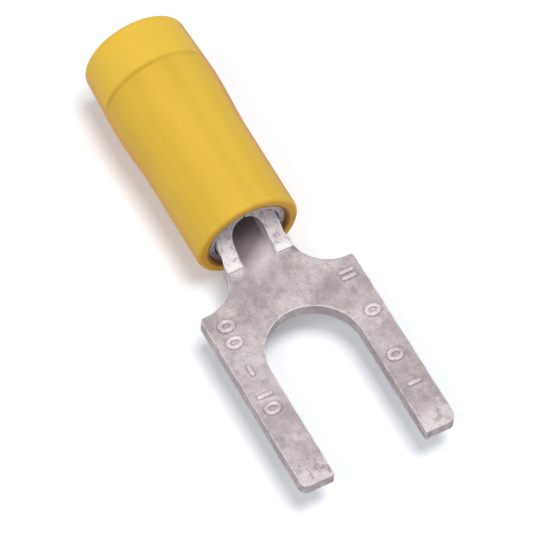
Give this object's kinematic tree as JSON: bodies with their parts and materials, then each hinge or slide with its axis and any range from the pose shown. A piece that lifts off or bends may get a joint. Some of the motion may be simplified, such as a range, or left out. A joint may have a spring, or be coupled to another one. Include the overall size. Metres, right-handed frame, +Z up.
{
  "type": "insulated fork terminal",
  "caption": "Flat forked tongue with a rolled barrel, a metal grip sleeve and a nylon insulator, crimped on a wire and held under a screw.",
  "frame": {"origin": "centre of the slot's round end, on the underside of the tongue", "axes": "+X out between the prongs, along the barrel's axis; +Z up out of the tongue's top; the wire leaves along -X"},
  "size_m": [0.0238, 0.0078, 0.0055],
  "materials": {
    "tinned_copper": "dull electro-tinned strip with bright sheared edges",
    "tinned_sleeve": "dull tin plate",
    "yellow_nylon": "smooth moulded nylon, slightly translucent"
  },
  "bodies": {
    "root": {"terminal": "tinned_copper", "grip_sleeve": "tinned_sleeve", "insulator": "yellow_nylon"}
  },
  "joints": []
}
